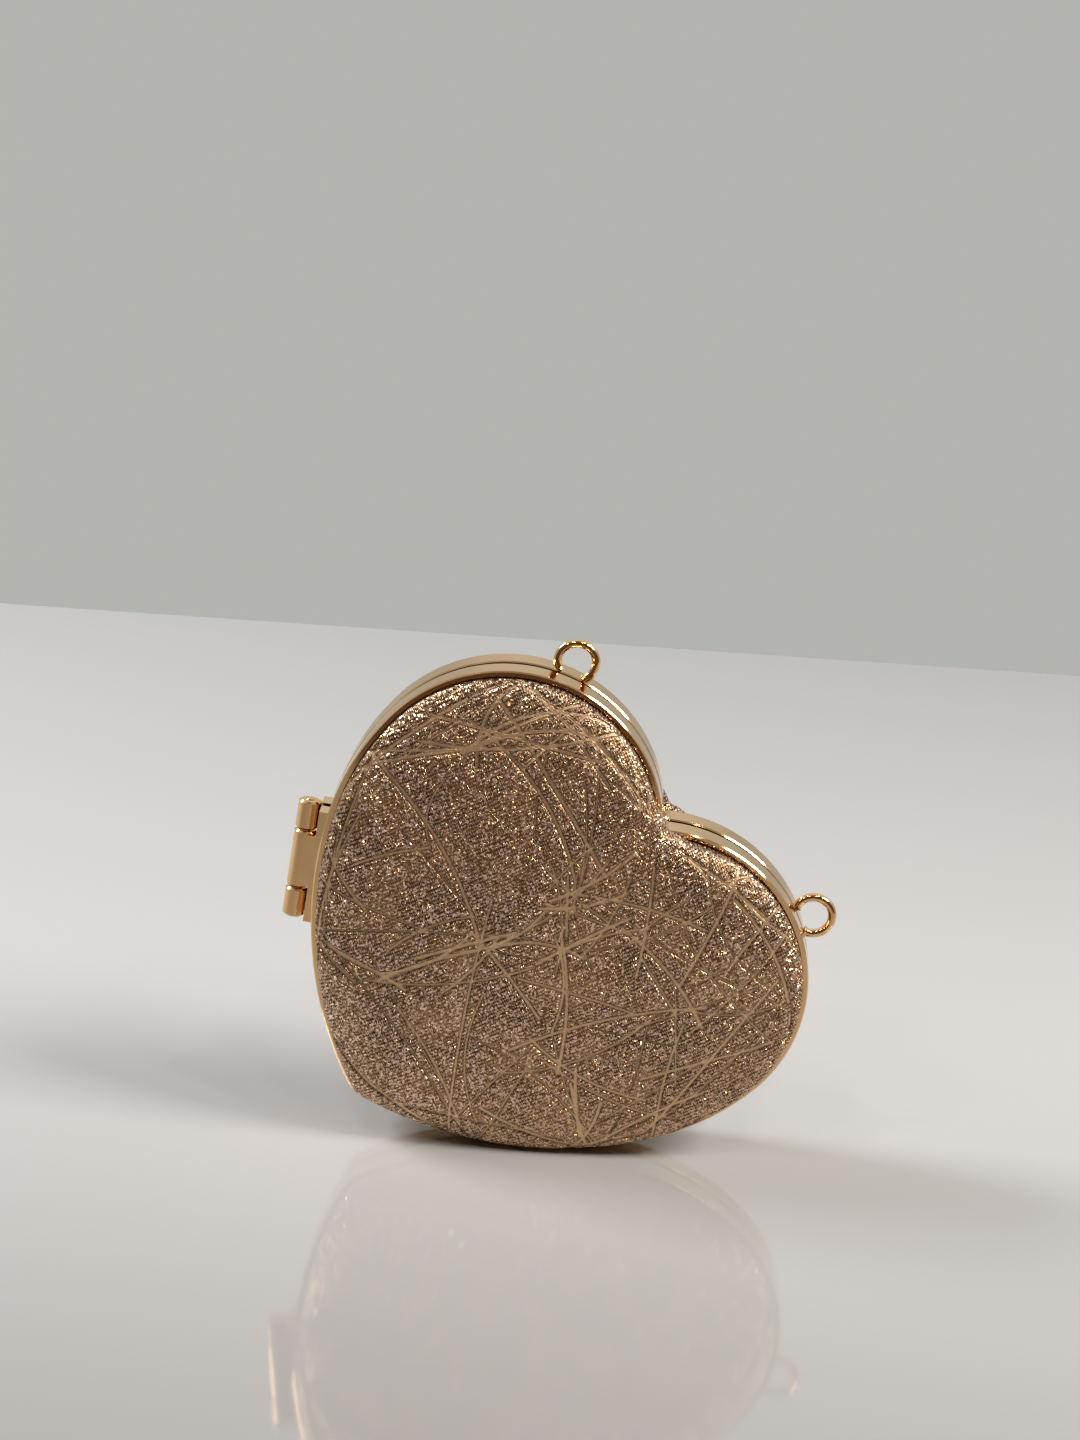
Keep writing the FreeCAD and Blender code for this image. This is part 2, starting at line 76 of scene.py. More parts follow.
# Shape of the heart
@dataclass(frozen=True)
class HeartOutline:
    """The outside of the gold frame: five kinds of arc, tangent to each other, and how the heart stands."""

    lobe_radius: float = 41.7
    lobe_offset: float = 28.8
    shoulder_radius: float = 68.9
    flank_radius: float = 105.2
    notch_radius: float = 2.2
    tip_radius: float = 8.5
    shoulder_angle: float = math.radians(92.4)
    flank_angle: float = math.radians(120.0)
    stand_angle: float = math.radians(45.6)
    crown_centre: Pair = (0.0, -15.4)

    @staticmethod
    def towards(angle: float) -> np.ndarray:
        """Unit vector at an angle from the heart's axis, turned to the right."""
        return np.array([math.sin(angle), math.cos(angle)])

    def arcs(self) -> list[tuple[np.ndarray, float, float, float, int]]:
        """Arcs of the right side, from notch to tip.

        Returns:
            For each arc its centre, radius, first and last angle, and 1 if it bulges out or -1 if it is hollow.
        """
        lobe = np.array([self.lobe_offset, 0.0])
        shoulder = lobe - self.towards(self.shoulder_angle) * (self.shoulder_radius - self.lobe_radius)
        flank = shoulder - self.towards(self.flank_angle) * (self.flank_radius - self.shoulder_radius)
        notch_reach = self.lobe_radius + self.notch_radius
        notch = np.array([0.0, math.sqrt(notch_reach ** 2 - lobe[0] ** 2)])
        tip_reach = self.flank_radius - self.tip_radius
        tip = np.array([0.0, flank[1] - math.sqrt(tip_reach ** 2 - flank[0] ** 2)])
        notch_angle = math.asin(lobe[0] / notch_reach)
        tip_angle = math.pi - math.asin(-flank[0] / tip_reach)
        return [
            (notch, self.notch_radius, math.pi, math.pi - notch_angle, -1),
            (lobe, self.lobe_radius, -notch_angle, self.shoulder_angle, 1),
            (shoulder, self.shoulder_radius, self.shoulder_angle, self.flank_angle, 1),
            (flank, self.flank_radius, self.flank_angle, tip_angle, 1),
            (tip, self.tip_radius, tip_angle, math.pi, 1),
        ]

    def walk(self, shares: np.ndarray) -> tuple[np.ndarray, np.ndarray]:
        """Points along the outline, from the notch round the right side to the tip and back on the left.

        Args:
            shares: how far round each point lies, from 0 to 1.

        Returns:
            The points and the outward directions there.
        """
        arcs = self.arcs()
        lengths = np.array([radius * abs(end - start) for _, radius, start, end, _ in arcs])
        ends = np.cumsum(lengths)
        turn = shares % 1.0
        along = np.minimum(turn, 1.0 - turn) * 2.0 * ends[-1]
        points = np.zeros((len(shares), 2))
        outward = np.zeros((len(shares), 2))
        which = np.minimum(np.searchsorted(ends, along), len(arcs) - 1)
        for number, (centre, radius, start, end, bulge) in enumerate(arcs):
            here = which == number
            part = (along[here] - ends[number] + lengths[number]) / lengths[number]
            angle = start + (end - start) * part
            spoke = np.stack([np.sin(angle), np.cos(angle)], axis=1)
            points[here] = centre + spoke * radius
            outward[here] = spoke * bulge
        left = turn > 0.5
        points[left, 0] *= -1.0
        outward[left, 0] *= -1.0
        return points, outward

    def length(self) -> float:
        """Length of the whole outline."""
        return 2.0 * sum(radius * abs(end - start) for _, radius, start, end, _ in self.arcs())

    def inset_of(self, points: np.ndarray) -> np.ndarray:
        """How far inside the outline points lie.

        Args:
            points: points in the heart's plane.

        Returns:
            Distances from the outline, inwards.
        """
        mirrored = np.stack([np.abs(points[:, 0]), points[:, 1]], axis=1)
        nearest = np.full(len(points), 1e9)
        for centre, radius, start, end, bulge in self.arcs():
            spoke = mirrored - centre
            reach = np.hypot(spoke[:, 0], spoke[:, 1])
            angle = np.arctan2(spoke[:, 0], spoke[:, 1])
            low, high = min(start, end), max(start, end)
            inside = (angle >= low - 1e-6) & (angle <= high + 1e-6)
            distance = (radius - reach) * bulge
            nearest = np.where(inside & (distance < nearest), distance, nearest)
        return nearest

    def lean(self) -> Pair:
        """Cosine and sine of the turn that lays the heart on its flank."""
        turn = math.pi / 2 - self.stand_angle
        return math.cos(turn), math.sin(turn)

    def upwards(self, outward: np.ndarray) -> np.ndarray:
        """How much directions in the heart's plane point up once it stands."""
        cos, sin = self.lean()
        return outward[:, 1] * cos - outward[:, 0] * sin

    def stand(self, plan: np.ndarray, depth: np.ndarray, half: Half) -> np.ndarray:
        """Stands points of one half up on the table.

        Args:
            plan: points in the heart's plane.
            depth: their distances from the parting plane.
            half: the half that they belong to.

        Returns:
            Points in metres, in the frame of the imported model.
        """
        cos, sin = self.lean()
        flank = self.arcs()[3][0]
        foot_x = flank[0] * cos + flank[1] * sin
        foot_z = -flank[0] * sin + flank[1] * cos - self.flank_radius
        x = plan[:, 0] * cos + plan[:, 1] * sin - foot_x
        z = -plan[:, 0] * sin + plan[:, 1] * cos - foot_z
        return np.stack([x, half.value * depth, z], axis=1) * MM


HEART = HeartOutline()


def smooth_step(low: float, high: float, numbers: np.ndarray) -> np.ndarray:
    """A smooth rise from 0 at low to 1 at high."""
    share = np.clip((numbers - low) / (high - low), 0.0, 1.0)
    return share * share * (3.0 - 2.0 * share)


# Materials
def linear(code: str) -> tuple[float, float, float, float]:
    """Turns an sRGB hex colour into the linear colour that shaders take.

    Args:
        code: six hex digits.

    Returns:
        Red, green, blue and an alpha of 1.
    """
    channels = [int(code[at:at + 2], 16) / 255 for at in (0, 2, 4)]
    red, green, blue = [c / 12.92 if c <= 0.04045 else ((c + 0.055) / 1.055) ** 2.4 for c in channels]
    return red, green, blue, 1.0


def plug(tree: Tree, node: bpy.types.Node, **links: object) -> None:
    """Sets or links inputs of a node.

    Args:
        tree: the node tree.
        node: the node.
        links: values, hex colours, outputs, or nodes that stand for their output in use, for inputs by name
            with underscores for spaces, or in_N by number.
    """
    for name, given in links.items():
        socket = node.inputs[int(name[3:])] if name.startswith("in_") else node.inputs[name.replace("_", " ")]
        if isinstance(given, bpy.types.Node):
            given = next(output for output in given.outputs if output.enabled)
        if isinstance(given, bpy.types.NodeSocket):
            tree.links.new(given, socket)
        else:
            socket.default_value = linear(given) if isinstance(given, str) else given


def add(tree: Tree, kind: str, settings: dict | None = None, **links: object) -> bpy.types.Node:
    """Adds a node with its settings and links.

    Args:
        tree: the node tree.
        kind: the node's type, without its common beginning.
        settings: properties of the node, and for a colour ramp its stops as places and hex colours.
        links: its inputs, as in plug.

    Returns:
        The node.
    """
    node = tree.nodes.new("ShaderNode" + kind)
    for name, setting in (settings or {}).items():
        if name == "stops":
            while len(node.color_ramp.elements) < len(setting):
                node.color_ramp.elements.new(0.5)
            for element, (place, code) in zip(node.color_ramp.elements, setting):
                element.position = place
                element.color = linear(code)
        else:
            setattr(node, name, setting)
    plug(tree, node, **links)
    return node


def blend(tree: Tree, share: Link, first: Link | str, second: Link | str) -> bpy.types.Node:
    """Adds a node that mixes two colours, the second by its share."""
    return add(tree, "Mix", {"data_type": "RGBA"}, in_0=share, in_6=first, in_7=second)


def new_material(name: str) -> tuple[bpy.types.Material, Tree, bpy.types.Node, Link]:
    """An empty material with one shader.

    Args:
        name: the material's name.

    Returns:
        The material, its node tree, its Principled shader and the points of the piece.
    """
    material = bpy.data.materials.new(name)
    material.use_nodes = True
    tree = material.node_tree
    return material, tree, tree.nodes["Principled BSDF"], add(tree, "TexCoord").outputs["Object"]


@dataclass(frozen=True)
class PlatedGold:
    """Light gold plating on polished brass: mirror bright, with fine hand polish and faint smears.

    The walls of the groove between the frames are rougher, and their near-black colour is painted shade of the recess.
    """

    name: str = "Gold_plated_brass_polished"
    colour: str = "F1C994"
    worn_colour: str = "EABF89"
    roughness: Pair = (0.04, 0.12)
    smear_size: float = 9.0
    scratch_spacing: float = 0.35
    scratch_length: float = 12.0
    scratch_depth: float = 0.02
    scratch_strength: float = 0.015
    groove: Pair | None = None
    groove_shade_colour: str = "2B1A10"
    groove_roughness: float = 0.5

    def make(self) -> bpy.types.Material:
        """Builds the material."""
        material, tree, shader, place = new_material(self.name)
        smears = add(tree, "TexNoise", Vector=place, Scale=1 / (self.smear_size * MM), Detail=4.0)
        colour = add(tree, "ValToRGB", {"stops": [(0.35, self.worn_colour), (0.62, self.colour)]}, Fac=smears)
        smooth, smeared = self.roughness
        rough = add(tree, "MapRange", Value=smears, To_Min=smooth, To_Max=smeared)
        if self.groove:
            inner, outer = self.groove
            across = add(tree, "SeparateXYZ", Vector=place).outputs["Y"]
            depth = add(tree, "Math", {"operation": "ABSOLUTE"}, in_0=across)
            within = add(tree, "Math", {"operation": "COMPARE"}, in_0=depth, in_1=(outer + inner) / 2 * MM,
                         in_2=(outer - inner) / 2 * MM)
            # Painted shade: the groove walls get a near-black colour for the shadow inside the recess.
            colour = blend(tree, within, colour, self.groove_shade_colour)
            rough = add(tree, "MapRange", Value=within, To_Min=rough, To_Max=self.groove_roughness)
        stretched = add(tree, "Mapping", Vector=place, Scale=(1.0, self.scratch_length, 1.0))
        polish = add(tree, "TexNoise", Vector=stretched,
                     Scale=1 / (self.scratch_spacing * MM * self.scratch_length), Detail=2.0)
        grain = add(tree, "Bump", Strength=self.scratch_strength, Distance=self.scratch_depth * MM, Height=polish)
        plug(tree, shader, Metallic=1.0, Base_Color=colour, Roughness=rough, Normal=grain)
        return material


@dataclass(frozen=True)
class GlitterLame:
    """Lame weave of metallic yarn with glitter: satiny bronze threads, tilted flakes that flash, pressed lines.

    Pressing melts the yarn together, so a line is smoother and shows little of the weave and the glitter.
    Pairs of numbers are for the yarn and for the flakes.
    """

    shade_colour: str = "1C0F09"
    thread_colour: str = "EABD94"
    warm_colour: str = "C69C6E"
    line_colour: str = "EFCB9F"
    pink_flake: str = "FFDDD2"
    gold_flake: str = "EDC88C"
    metallic: Pair = (0.66, 1.0)
    roughness: Pair = (0.46, 0.16)
    thread_spacing: float = 0.58
    thread_slimness: float = 0.62
    thread_height: float = 0.14
    thread_strength: float = 0.85
    weave_angle: float = math.radians(27)
    unevenness: float = 0.16
    cloud_size: float = 15.0
    warm_share: float = 0.45
    flake_size: float = 0.46
    flake_share: float = 0.5
    flake_tilt: float = 0.95
    flake_lean: Triple = (0.5, 0.5, 0.4)
    flake_cover: float = 0.62
    flakes_in_lines: float = 0.3
    line_half_width: float = 0.42
    line_melt: float = 0.85
    groove_depth: float = 0.4

    def make(self) -> bpy.types.Material:
        """Builds the material. Yarn and flakes are about half as large in life and are drawn coarser, to show."""
        material, tree, shader, place = new_material("Lame_weave_with_glitter")
        away = add(tree, "Attribute", {"attribute_name": "line_distance"}).outputs["Fac"]
        melted = add(tree, "MapRange", SMOOTH, Value=away, From_Min=self.line_half_width * 0.7,
                     From_Max=self.line_half_width * 1.25, To_Min=self.line_melt, To_Max=0.0)
        flat = add(tree, "Mapping", Vector=place, Rotation=(math.radians(90), 0.0, 0.0))
        turned = add(tree, "Mapping", Vector=flat, Rotation=(0.0, 0.0, self.weave_angle))
        slim = add(tree, "Mapping", Vector=turned, Scale=(1.0, self.thread_slimness, 1.0))
        threads = add(tree, "TexVoronoi", {"voronoi_dimensions": "2D"}, Vector=slim,
                      Scale=1 / (self.thread_spacing * MM), Randomness=self.unevenness)
        cloth = self.cloth(tree, place, away, melted, threads)

        flakes = add(tree, "TexVoronoi", Vector=place, Scale=1 / (self.flake_size * MM),
                     Randomness=1.0).outputs["Color"]
        parts = add(tree, "SeparateColor", Color=flakes)
        chosen = add(tree, "Math", {"operation": "LESS_THAN"}, in_0=parts.outputs["Red"], in_1=self.flake_share)
        woven = add(tree, "MapRange", Value=away, From_Min=self.line_half_width,
                    From_Max=self.line_half_width * 2.4, To_Min=self.flakes_in_lines, To_Max=1.0)
        shown = add(tree, "Math", {"operation": "MULTIPLY"}, in_0=chosen, in_1=woven)
        tint = blend(tree, parts.outputs["Blue"], self.pink_flake, self.gold_flake)
        cover = add(tree, "Math", {"operation": "MULTIPLY"}, in_0=shown, in_1=self.flake_cover)
        colour = blend(tree, cover, cloth, tint)
        metal, rough = [add(tree, "MapRange", Value=shown, To_Min=yarn, To_Max=flake)
                        for yarn, flake in (self.metallic, self.roughness)]
        plug(tree, shader, Base_Color=colour, Metallic=metal, Roughness=rough,
             Normal=self.relief(tree, away, melted, threads, flakes, shown))
        return material

    def cloth(self, tree: Tree, place: Link, away: Link, melted: Link, threads: Link) -> Link:
        """Colours the yarn: warmer in clouds, even in the lines, and darkened beside them as painted shade of the
        groove walls.

        Args:
            tree: the node tree.
            place: points of the cover.
            away: distances from the lines.
            melted: how far the yarn is melted together.
            threads: distances from the middle of a thread.

        Returns:
            The colour.
        """
        colour = add(tree, "ValToRGB", {"stops": [(0.08, self.thread_colour), (0.47, self.shade_colour)]}, Fac=threads)
        clouds = add(tree, "TexNoise", Vector=place, Scale=1 / (self.cloud_size * MM), Detail=3.0)
        warmth = add(tree, "MapRange", Value=clouds, From_Min=0.4, From_Max=0.68, To_Max=self.warm_share)
        # Painted shade: yarn just beside each line is darkened towards the shade colour, as if the groove's walls lay
        # in shadow.
        edges = [(0.0, "000000"), (0.42, "000000"), (0.62, "BCBCBC"), (0.95, "000000")]
        line_shade = add(tree, "ValToRGB", {"stops": edges}, Fac=away)
        for share, code in ((warmth, self.warm_colour), (melted, self.line_colour), (line_shade, self.shade_colour)):
            colour = blend(tree, share, colour, code)
        return colour

    def relief(self, tree: Tree, away: Link, melted: Link, threads: Link, flakes: Link, shown: Link) -> Link:
        """Turns the surface: into the grooves, over the yarn, and by each flake's own tilt.

        Args:
            tree: the node tree.
            away: distances from the lines.
            melted: how far the yarn is melted together.
            threads: distances from the middle of a thread.
            flakes: a random colour for each flake.
            shown: how much of a flake shows.

        Returns:
            The direction that the surface faces.
        """
        dip = add(tree, "MapRange", SMOOTH, Value=away, From_Min=self.line_half_width * 0.5,
                  From_Max=self.line_half_width * 1.7)
        groove = add(tree, "Bump", Strength=1.0, Distance=self.groove_depth * MM, Height=dip)
        yarn = add(tree, "MapRange", Value=melted, To_Min=self.thread_strength, To_Max=0.0)
        bump = add(tree, "Bump", {"invert": True}, Strength=yarn, Distance=self.thread_height * MM,
                   Height=threads, Normal=groove)
        lean = add(tree, "VectorMath", {"operation": "SUBTRACT"}, in_0=flakes, in_1=self.flake_lean)
        much = add(tree, "Math", {"operation": "MULTIPLY"}, in_0=shown, in_1=self.flake_tilt)
        tilt = add(tree, "VectorMath", {"operation": "SCALE"}, in_0=lean, Scale=much)
        facing = add(tree, "VectorMath", {"operation": "ADD"}, in_0=bump, in_1=tilt)
        return add(tree, "VectorMath", {"operation": "NORMALIZE"}, in_0=facing)


@dataclass(frozen=True)
class LiningSatin:
    """Satin weave: long floats that shine along one way, with a fine twill line."""

    colour: str = "B08D68"
    light_colour: str = "CEAD88"
    float_spacing: float = 0.9
    float_angle: float = math.radians(38)
    float_height: float = 0.06
    float_share: float = 0.35
    cloud_size: float = 45.0
    roughness: float = 0.3
    shine: float = 0.5

    def make(self) -> bpy.types.Material:
        """Builds the material. Floats are finer in life and are drawn coarser, to show."""
        material, tree, shader, place = new_material("Polyester_satin_woven")
        turned = add(tree, "Mapping", Vector=place, Rotation=(0.0, self.float_angle, 0.0))
        # A wave texture at scale 1 has 20 / (2 pi) waves to the metre
        lines = add(tree, "TexWave", {"bands_direction": "X"}, Vector=turned,
                    Scale=2 * math.pi / (self.float_spacing * MM) / 20, Distortion=0.4).outputs["Fac"]
        clouds = add(tree, "TexNoise", Vector=place, Scale=1 / (self.cloud_size * MM), Detail=1.0)
        both = add(tree, "Mix", in_0=self.float_share, in_2=clouds, in_3=lines)
        tint = add(tree, "ValToRGB", {"stops": [(0.3, self.colour), (0.75, self.light_colour)]}, Fac=both)
        fine = add(tree, "Bump", Strength=0.3, Distance=self.float_height * MM, Height=lines)
        plug(tree, shader, Base_Color=tint, Roughness=self.roughness, Sheen_Weight=self.shine,
             Sheen_Roughness=self.roughness, Anisotropic=self.shine, Normal=fine)
        return material


@dataclass(frozen=True)
class PlainStuff:
    """A plain stuff with a mottled colour and a fine surface grain, such as moulded plastic or card."""

    name: str
    colour: str
    second_colour: str
    roughness: float
    grain: float
    metallic: float = 0.0
    grain_depth: float = 0.05

    def make(self) -> bpy.types.Material:
        """Builds the material."""
        material, tree, shader, place = new_material(self.name)
        spots = add(tree, "TexNoise", Vector=place, Scale=1 / (self.grain * MM), Detail=5.0)
        tint = add(tree, "ValToRGB", {"stops": [(0.35, self.colour), (0.68, self.second_colour)]}, Fac=spots)
        bump = add(tree, "Bump", Strength=0.25, Distance=self.grain_depth * MM, Height=spots)
        plug(tree, shader, Base_Color=tint, Roughness=self.roughness, Metallic=self.metallic, Normal=bump)
        return material


class Finishes:
    """Every finish of the purse, made once."""

    def __init__(self) -> None:
        """Makes the materials."""
        self.gold = PlatedGold().make()
        self.frame_gold = PlatedGold("Gold_plated_brass_frame", groove=(0.23, 1.02)).make()
        self.glitter = GlitterLame().make()
        self.satin = LiningSatin().make()
        self.shell = PlainStuff("ABS_black_moulded", "17140F", "241F1A", 0.55, 0.8).make()
        self.card = PlainStuff("Card_grey_pressed", "5C4A3A", "77624E", 0.85, 0.6).make()
        self.nickel = PlainStuff("Nickel_plating_bright", "B9B4AC", "CFCAC2", 0.2, 1.5, 1.0).make()


# Meshes
def ring_faces(rings: int, count: int, first: int = 0) -> Faces:
    """Squares between closed rings of points.

    Args:
        rings: how many rings there are.
        count: points in each ring.
        first: number of the first ring's first point.

    Returns:
        The corner numbers of each square.
    """
    faces = []
    for low in range(first, first + (rings - 1) * count, count):
        for number in range(count):
            after = (number + 1) % count
            faces.append((low + number, low + after, low + count + after, low + count + number))
    return faces


def mesh_piece(name: str, points: np.ndarray, faces: Faces, material: bpy.types.Material | None,
               smooth: bool = True, flip: bool = False) -> bpy.types.Object:
    """Makes an object from points and faces.

    Args:
        name: the piece's name.
        points: places in metres.
        faces: corner numbers of each face.
        material: its finish, if it has one.
        smooth: whether it is shaded smooth.
        flip: whether its faces are turned over.

    Returns:
        The object, linked to the scene.
    """
    mesh = bpy.data.meshes.new(name)
    mesh.from_pydata(points.tolist(), [], [face[::-1] for face in faces] if flip else faces)
    mesh.polygons.foreach_set("use_smooth", [smooth] * len(mesh.polygons))
    if material:
        mesh.materials.append(material)
    mesh.update()
    piece = bpy.data.objects.new(name, mesh)
    bpy.context.collection.objects.link(piece)
    return piece


@dataclass
class RingGrid:
    """A square grid seen as rings round its middle, which has no pole."""

    rings: int

    @property
    def side(self) -> int:
        """Points along one side of the grid."""
        return 2 * self.rings + 1

    def shares(self) -> tuple[np.ndarray, np.ndarray]:
        """Places on the rings.

        Returns:
            Each point's ring from 0 to 1, and its share round the ring from the middle of the top, clockwise.
        """
        span = np.arange(-self.rings, self.rings + 1)
        across, up = np.meshgrid(span, span)
        ring = np.maximum(np.abs(across), np.abs(up))
        top = up == ring
        right = (across == ring) & ~top
        bottom = (up == -ring) & ~top & ~right
        around = np.where(top, across,
                          np.where(right, 2 * ring - up, np.where(bottom, 4 * ring - across, 6 * ring + up)))
        return ring.ravel() / self.rings, (around / (8.0 * np.maximum(ring, 1))).ravel() % 1.0

    def faces(self) -> Faces:
        """The squares between the points."""
        side = self.side
        return [(row * side + col, row * side + col + 1, (row + 1) * side + col + 1, (row + 1) * side + col)
                for row in range(side - 1) for col in range(side - 1)]

    def normals(self, points: np.ndarray, half: Half) -> np.ndarray:
        """Outward directions at the points of a grid that one half's cover is laid over."""
        grid = points.reshape(self.side, self.side, 3)
        normal = np.cross(np.gradient(grid, axis=1), np.gradient(grid, axis=0)).reshape(-1, 3)
        normal /= np.maximum(np.linalg.norm(normal, axis=1), 1e-12)[:, None]
        return normal * np.sign((normal[:, 1] * half.value).sum())

    def spread(self, numbers: np.ndarray, finer: "RingGrid") -> np.ndarray:
        """Carries numbers at this grid's points over to a finer grid."""
        table = numbers.reshape(self.side, self.side)
        at = np.linspace(0.0, self.side - 1.0, finer.side)
        low = np.minimum(at.astype(int), self.side - 2)
        part = smooth_step(0.0, 1.0, at - low)
        rows = table[low] * (1.0 - part)[:, None] + table[low + 1] * part[:, None]
        return (rows[:, low] * (1.0 - part) + rows[:, low + 1] * part).ravel()


# Padded covers
@dataclass
class PressedLines:
    """The random lines pressed into the fabric: bowed strokes that cross and meet at hubs."""

    seed: int
    hubs: int = 18
    rays: int = 4
    strokes: int = 46
    hub_gap: float = 19.0
    hub_field: tuple[Pair, Pair] = ((-66.0, -78.0), (66.0, 40.0))
    hub_overhang: float = 2.0
    ray_scatter: float = 2.5
    ray_tail: Pair = (0.05, 0.55)
    ray_head: Pair = (0.7, 1.3)
    stroke_field: tuple[Pair, Pair] = ((-62.0, -74.0), (62.0, 38.0))
    stroke_reach: Pair = (9.0, 32.0)
    bow: float = 0.06
    step_count: int = 9
    widths: Pair = (0.42, 1.05)
    far: float = 8.0

    def paths(self) -> np.ndarray:
        """Bowed strokes as runs of short straight pieces.

        Returns:
            An array of runs by points by two.
        """
        draw = np.random.default_rng(self.seed)
        hubs: list[np.ndarray] = []
        while len(hubs) < self.hubs:
            spot = draw.uniform(*self.hub_field)
            inside = HEART.inset_of(spot[None])[0] > -self.hub_overhang
            if inside and all(np.hypot(*(spot - hub)) > self.hub_gap for hub in hubs):
                hubs.append(spot)
        ends: list[tuple[np.ndarray, np.ndarray]] = []
        for hub in hubs:
            order = sorted(hubs, key=lambda other: float(np.hypot(*(other - hub))))
            for other in order[1:1 + self.rays]:
                run = other + draw.normal(0.0, self.ray_scatter, 2) - hub
                ends.append((hub - run * draw.uniform(*self.ray_tail), hub + run * draw.uniform(*self.ray_head)))
        for _ in range(self.strokes):
            middle = draw.uniform(*self.stroke_field)
            turn = draw.uniform(0.0, math.pi)
            reach = draw.uniform(*self.stroke_reach) * np.array([math.cos(turn), math.sin(turn)])
            ends.append((middle - reach, middle + reach))
        along = np.linspace(0.0, 1.0, self.step_count)[:, None]
        runs = []
        for start, end in ends:
            across = np.array([start[1] - end[1], end[0] - start[0]])
            runs.append(start + (end - start) * along + across * draw.normal(0.0, self.bow) * 4 * along * (1 - along))
        return np.array(runs)

    def distance(self, plan: np.ndarray) -> np.ndarray:
        """Distance of each point from its nearest line, as if all lines were equally wide.

        Args:
            plan: points in the heart's plane.

        Returns:
            The distances, up to the one that counts as far.
        """
        nearest = np.full(len(plan), self.far)
        draw = np.random.default_rng(self.seed)
        for run in self.paths():
            width = draw.uniform(*self.widths)
            middle = run.mean(axis=0)
            reach = np.hypot(*(run - middle).T).max() + self.far
            close = np.flatnonzero(np.hypot(*(plan - middle).T) < reach)
            here = plan[close]
            best = nearest[close]
            for start, end in zip(run[:-1], run[1:]):
                leg = end - start
                share = np.clip(((here - start) @ leg) / (leg @ leg), 0.0, 1.0)
                best = np.minimum(best, np.hypot(*(here - start - share[:, None] * leg).T) / width)
            nearest[close] = best
        return nearest


@dataclass
class FoamSwell:
    """Cloth simulation of the fabric: foam presses it out wherever no line is pressed and no frame holds it.

    The cloth is simulated ten times as large, because Blender's cloth is made for garments.
    """

    rings: int = 48
    pressure: float = 6.0
    mass: float = 0.15
    pin_stiffness: float = 3.0
    stretch_stiffness: float = 12.0
    bending_stiffness: float = 0.4
    frames: int = 12
    limits: Pair = (-0.2, 0.75)
    enlarged: float = 10.0

    def run(self, name: str, points: np.ndarray, held: np.ndarray, normals: np.ndarray) -> np.ndarray:
        """Simulates one cover.

        Args:
            name: the cover's name.
            points: places in metres.
            held: how firmly each point is held, from 0 to 1.
            normals: outward directions.

        Returns:
            How far each point moves outwards, in millimetres.
        """
        cloth = mesh_piece(name + "_cloth", points * self.enlarged, RingGrid(self.rings).faces(), None)
        if (cloth.data.polygons[len(cloth.data.polygons) // 2].normal.y > 0) != (normals[len(points) // 2, 1] > 0):
            cloth.data.flip_normals()
        group = cloth.vertex_groups.new(name="held")
        for level in np.unique(np.round(held, 1)):
            group.add(np.flatnonzero(np.round(held, 1) == level).tolist(), float(level), "REPLACE")
        settings = cloth.modifiers.new("cloth", "CLOTH").settings
        settings.vertex_group_mass = "held"
        settings.pin_stiffness = self.pin_stiffness
        settings.mass = self.mass
        settings.tension_stiffness = settings.compression_stiffness = self.stretch_stiffness
        settings.bending_stiffness = self.bending_stiffness
        settings.use_pressure = True
        settings.uniform_pressure_force = self.pressure
        settings.effector_weights.gravity = 0.0
        scene = bpy.context.scene
        for number in range(1, self.frames + 1):
            scene.frame_set(number)
        shaped = cloth.evaluated_get(bpy.context.evaluated_depsgraph_get()).data
        places = np.zeros(len(points) * 3)
        shaped.vertices.foreach_get("co", places)
        moved = places.reshape(-1, 3) / self.enlarged - points
        bpy.data.objects.remove(cloth)
        scene.frame_set(1)
        out = (moved * normals).sum(axis=1) / MM
        log.info("%s: foam swells the fabric by %.2f mm at most, %.2f mm on average", name, out.max(), out.mean())
        return np.clip(out, *self.limits)


